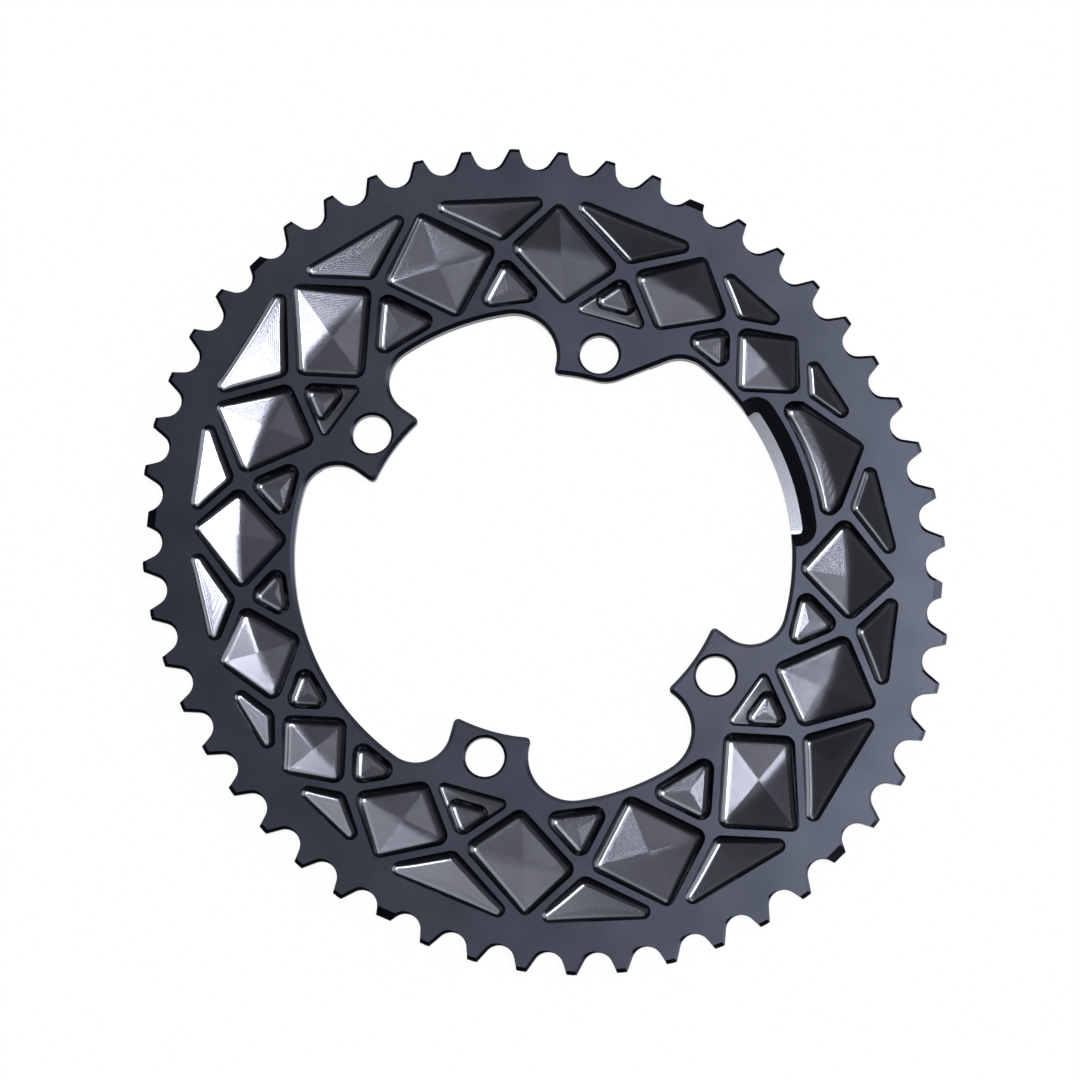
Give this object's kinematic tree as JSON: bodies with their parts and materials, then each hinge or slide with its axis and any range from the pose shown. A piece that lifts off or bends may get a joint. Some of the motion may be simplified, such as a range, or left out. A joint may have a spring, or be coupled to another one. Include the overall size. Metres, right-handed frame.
{
  "type": "bicycle chainring",
  "caption": "Flat oval bicycle chainring with a milled net of crossing ribs, faceted pockets, a toothed rim and four bolt tabs round an open centre.",
  "frame": {"origin": "on the crank axis, at the centre of the bolt pattern, in the plane of the flat back face", "axes": "+Z is the crank axis and points out of the front face. +X points along the crank arm, in the middle of the wide bolt gap with the relief. The ring lies on its back."},
  "size_m": [0.204, 0.222, 0.004],
  "materials": {
    "anodised_ring": "dark grey-blue satin anodised, with glossier milled pockets"
  },
  "bodies": {
    "root": {"chainring": "anodised_ring"}
  },
  "joints": []
}
